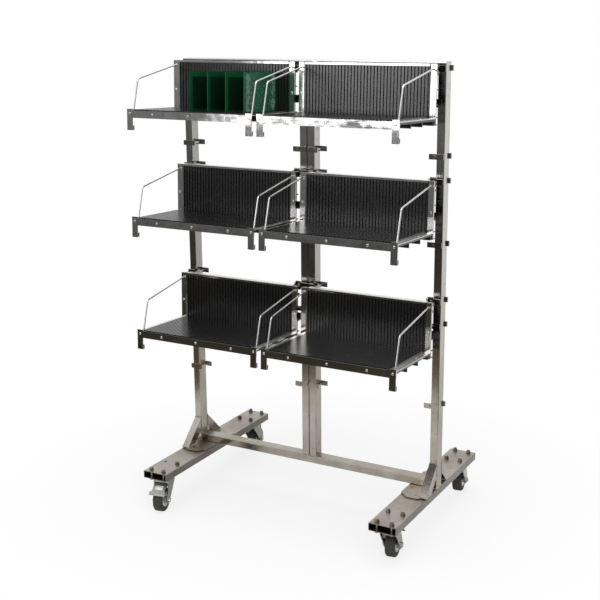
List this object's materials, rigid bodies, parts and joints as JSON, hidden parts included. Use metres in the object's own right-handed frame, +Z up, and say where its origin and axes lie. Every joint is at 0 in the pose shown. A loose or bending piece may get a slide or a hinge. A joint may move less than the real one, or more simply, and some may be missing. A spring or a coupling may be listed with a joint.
{
  "type": "pcb magazine rack",
  "caption": "Free-standing rack of steel tube on swivel casters that carries tilted, slotted magazines for storing circuit boards upright.",
  "frame": {"origin": "on the floor, under the middle of the rack's outline", "axes": "+X to the right seen from the front, +Y to the back, +Z up"},
  "size_m": [0.922, 0.7009, 1.4545],
  "materials": {
    "steel": "polished",
    "fastener": "satin",
    "trim": "polished",
    "guard": "bright",
    "panel": "moulded, semi-matt",
    "zinc": "zinc plated",
    "tyre": "matt",
    "board": "solder mask"
  },
  "bodies": {
    "frame": {"outrigger_left": "steel", "outrigger_right": "steel", "base_plates": "steel", "plate_screws": "fastener", "crossbar": "steel", "post_left": "steel", "post_right": "steel", "post_centre_left": "steel", "post_centre_right": "steel", "top_rail": "steel", "braces": "steel", "clamp_long_plates": "steel", "clamp_short_plates": "steel", "clamp_bolts": "fastener", "hangers": "steel", "rivets": "fastener", "caster_plates": "zinc", "caster_bolts": "fastener", "back_tl": "panel", "back_tr": "panel", "back_ml": "panel", "back_mr": "panel", "back_bl": "panel", "back_br": "panel", "shelf_tl": "panel", "shelf_tr": "panel", "shelf_ml": "panel", "shelf_mr": "panel", "shelf_bl": "panel", "shelf_br": "panel", "trim_tl": "trim", "trim_tr": "trim", "trim_ml": "trim", "trim_mr": "trim", "trim_bl": "trim", "trim_br": "trim", "guards_tl": "guard", "guards_tr": "guard", "guards_ml": "guard", "guards_mr": "guard", "guards_bl": "guard", "guards_br": "guard"},
    "caster_fl": {"fork_fl": "zinc", "axle_fl": "fastener"},
    "roller_fl": {"wheel_fl": "tyre"},
    "caster_fr": {"fork_fr": "zinc", "axle_fr": "fastener"},
    "roller_fr": {"wheel_fr": "tyre"},
    "caster_rl": {"fork_rl": "zinc", "axle_rl": "fastener"},
    "roller_rl": {"wheel_rl": "tyre"},
    "caster_rr": {"fork_rr": "zinc", "axle_rr": "fastener"},
    "roller_rr": {"wheel_rr": "tyre"},
    "brake_fl": {"pedal_fl": "zinc"},
    "brake_fr": {"pedal_fr": "zinc"},
    "card_1": {"board_1": "board"},
    "card_2": {"board_2": "board"},
    "card_3": {"board_3": "board"},
    "card_4": {"board_4": "board"}
  },
  "joints": [
    {"name": "swivel_fl", "type": "hinge", "parent": "frame", "child": "caster_fl", "pos_m": [-0.41, -0.2702, 0.101], "axis": [0, 0, 1], "continuous": true},
    {"name": "roll_fl", "type": "hinge", "parent": "caster_fl", "child": "roller_fl", "pos_m": [-0.4019, -0.30528, 0.04], "axis": [0.9744, 0.225, 0], "continuous": true},
    {"name": "swivel_fr", "type": "hinge", "parent": "frame", "child": "caster_fr", "pos_m": [0.41, -0.2702, 0.101], "axis": [0, 0, 1], "continuous": true},
    {"name": "roll_fr", "type": "hinge", "parent": "caster_fr", "child": "roller_fr", "pos_m": [0.40437, -0.23464, 0.04], "axis": [-0.9877, -0.1564, 0], "continuous": true},
    {"name": "swivel_rl", "type": "hinge", "parent": "frame", "child": "caster_rl", "pos_m": [-0.41, 0.2738, 0.101], "axis": [0, 0, 1], "continuous": true},
    {"name": "roll_rl", "type": "hinge", "parent": "caster_rl", "child": "roller_rl", "pos_m": [-0.41376, 0.3096, 0.04], "axis": [-0.9945, -0.1045, 0], "continuous": true},
    {"name": "swivel_rr", "type": "hinge", "parent": "frame", "child": "caster_rr", "pos_m": [0.41, 0.2738, 0.101], "axis": [0, 0, 1], "continuous": true},
    {"name": "roll_rr", "type": "hinge", "parent": "caster_rr", "child": "roller_rr", "pos_m": [0.40437, 0.30936, 0.04], "axis": [-0.9877, -0.1564, 0], "continuous": true},
    {"name": "brake_fl", "type": "hinge", "parent": "caster_fl", "child": "brake_fl", "pos_m": [-0.40393, -0.29651, 0.09], "axis": [0.9744, 0.225, 0], "range_deg": [0, 6.5]},
    {"name": "brake_fr", "type": "hinge", "parent": "caster_fr", "child": "brake_fr", "pos_m": [0.40578, -0.24353, 0.09], "axis": [-0.9877, -0.1564, 0], "range_deg": [0, 6.5]},
    {"name": "slide_board_1", "type": "slide", "parent": "frame", "child": "card_1", "axis": [0, -0.999, 0.0436], "range_m": [0, 0.18]},
    {"name": "slide_board_2", "type": "slide", "parent": "frame", "child": "card_2", "axis": [0, -0.999, 0.0436], "range_m": [0, 0.18]},
    {"name": "slide_board_3", "type": "slide", "parent": "frame", "child": "card_3", "axis": [0, -0.999, 0.0436], "range_m": [0, 0.18]},
    {"name": "slide_board_4", "type": "slide", "parent": "frame", "child": "card_4", "axis": [0, -0.999, 0.0436], "range_m": [0, 0.18]}
  ]
}
